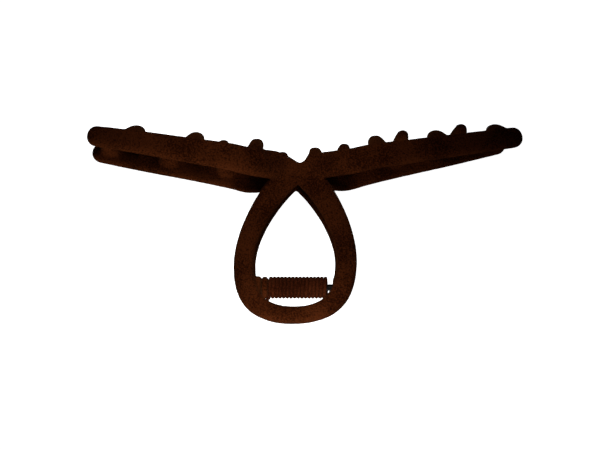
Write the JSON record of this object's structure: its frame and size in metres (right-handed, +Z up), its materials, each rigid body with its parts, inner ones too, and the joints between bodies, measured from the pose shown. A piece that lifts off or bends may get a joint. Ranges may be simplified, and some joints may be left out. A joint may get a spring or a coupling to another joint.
{
  "type": "claw hair clip",
  "caption": "Flocked claw clip for long hair: two spring-shut jaws with interleaving teeth, tapered arms and a crossed teardrop loop as the handle.",
  "frame": {"origin": "middle of the box's underside, in the plane that the back jaw's arms rest on", "axes": "+X along the clip to the right arm's tip, +Y from the handle ends to the teeth, +Z up, out of the front jaw's face; the hinge axis runs along X"},
  "size_m": [0.1204, 0.0562, 0.0314],
  "materials": {
    "flocked_plastic": "dark brown nylon flock on moulded plastic, velvety",
    "pin_steel": "dull steel, darkened",
    "coated_wire": "spring wire flocked with the jaws, dull brown"
  },
  "bodies": {
    "back": {"back_jaw": "flocked_plastic", "hinge_pin": "pin_steel", "torsion_spring": "coated_wire"},
    "front": {"front_jaw": "flocked_plastic"}
  },
  "joints": [
    {"name": "jaw_hinge", "type": "hinge", "parent": "back", "child": "front", "pos_m": [-0.00113, -0.01791, 0.0157], "axis": [1, 0, 0], "range_deg": [0, 60], "stiffness_Nm_per_rad": 0.12, "springref_deg": -20.05, "deforming": ["torsion_spring"]}
  ]
}
